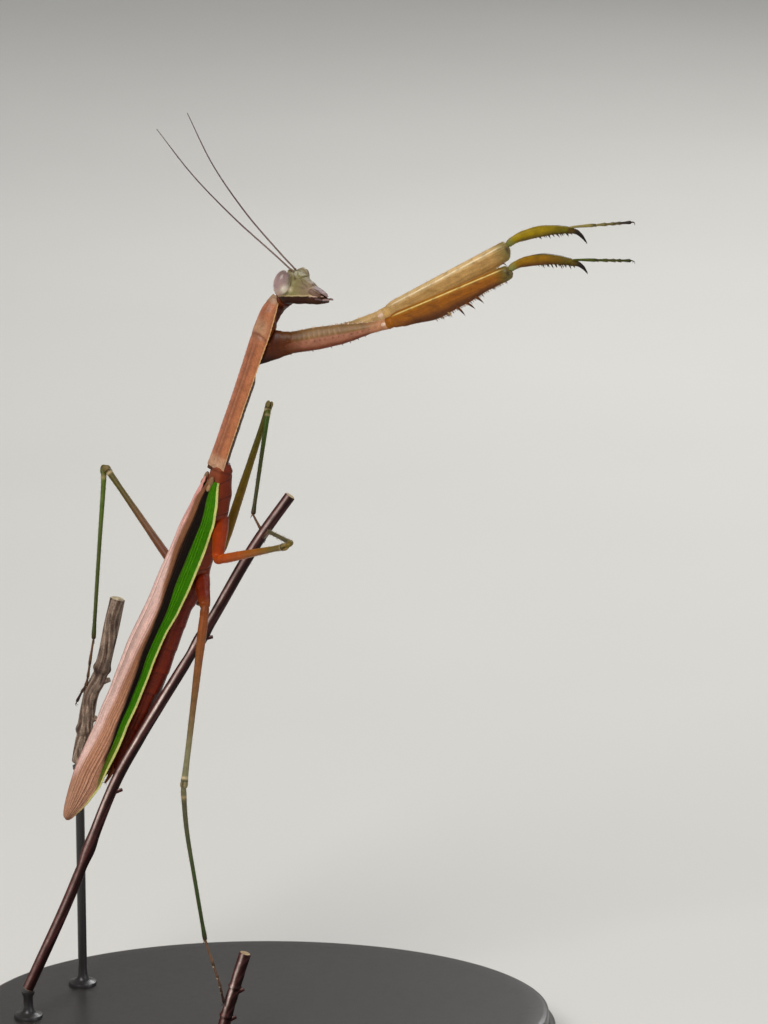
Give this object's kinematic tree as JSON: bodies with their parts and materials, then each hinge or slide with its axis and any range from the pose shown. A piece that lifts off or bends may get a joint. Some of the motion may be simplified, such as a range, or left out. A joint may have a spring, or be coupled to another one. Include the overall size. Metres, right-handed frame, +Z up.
{
  "type": "praying mantis, life-size display model",
  "caption": "Still, life-size praying mantis reaching out with its grasping fore legs, clinging to cut stems held over a flat oval display stand.",
  "frame": {"origin": "middle of the stand's flat underside", "axes": "+X the way the fore legs reach, -Y the mantis's right side (towards a viewer of its side), +Z up; the underside of the stand is at Z = 0"},
  "size_m": [0.1049, 0.066, 0.1512],
  "materials": {
    "shell_brown": "satin insect shell",
    "shell_red": "satin insect shell",
    "leg_ochre": "satin insect shell",
    "leg_green": "satin insect shell",
    "foot_dark": "satin insect shell",
    "head_olive": "satin insect shell",
    "eye_mauve": "glossy compound eye",
    "wing_brown": "satin leathery wing",
    "stem_maroon": "satin bark",
    "stem_dry": "rough dry bark",
    "stand_black": "satin black paint"
  },
  "bodies": {
    "root": {"abdomen_front": "shell_red", "abdomen_middle": "shell_red", "abdomen_rear": "shell_red", "antenna_left": "foot_dark", "antenna_right": "foot_dark", "cercus_left": "shell_red", "cercus_right": "shell_red", "eye_left": "eye_mauve", "eye_right": "eye_mauve", "fore_coxa_left": "shell_brown", "fore_coxa_right": "shell_brown", "fore_femur_left": "leg_ochre", "fore_femur_right": "leg_ochre", "fore_tarsus_left": "foot_dark", "fore_tarsus_right": "foot_dark", "fore_tibia_left": "leg_ochre", "fore_tibia_right": "leg_ochre", "forewing_left": "wing_brown", "forewing_right": "wing_brown", "head": "head_olive", "hind_coxa_left": "shell_red", "hind_coxa_right": "shell_red", "hind_femur_left": "leg_ochre", "hind_femur_right": "leg_ochre", "hind_tarsus_left": "foot_dark", "hind_tarsus_right": "foot_dark", "hind_tibia_left": "leg_green", "hind_tibia_right": "leg_green", "hindwing_left": "wing_brown", "hindwing_right": "wing_brown", "mid_coxa_left": "shell_red", "mid_coxa_right": "shell_red", "mid_femur_left": "leg_ochre", "mid_femur_right": "leg_ochre", "mid_tarsus_left": "foot_dark", "mid_tarsus_right": "foot_dark", "mid_tibia_left": "leg_green", "mid_tibia_right": "leg_green", "neck": "shell_red", "perch_dry_stem": "stem_dry", "perch_stem": "stem_maroon", "perch_twig": "stem_maroon", "prothorax": "shell_brown", "stand_base": "stand_black", "stand_rod_dry_stem": "stand_black", "stand_rod_stem": "stand_black", "thorax": "shell_red"}
  },
  "joints": []
}
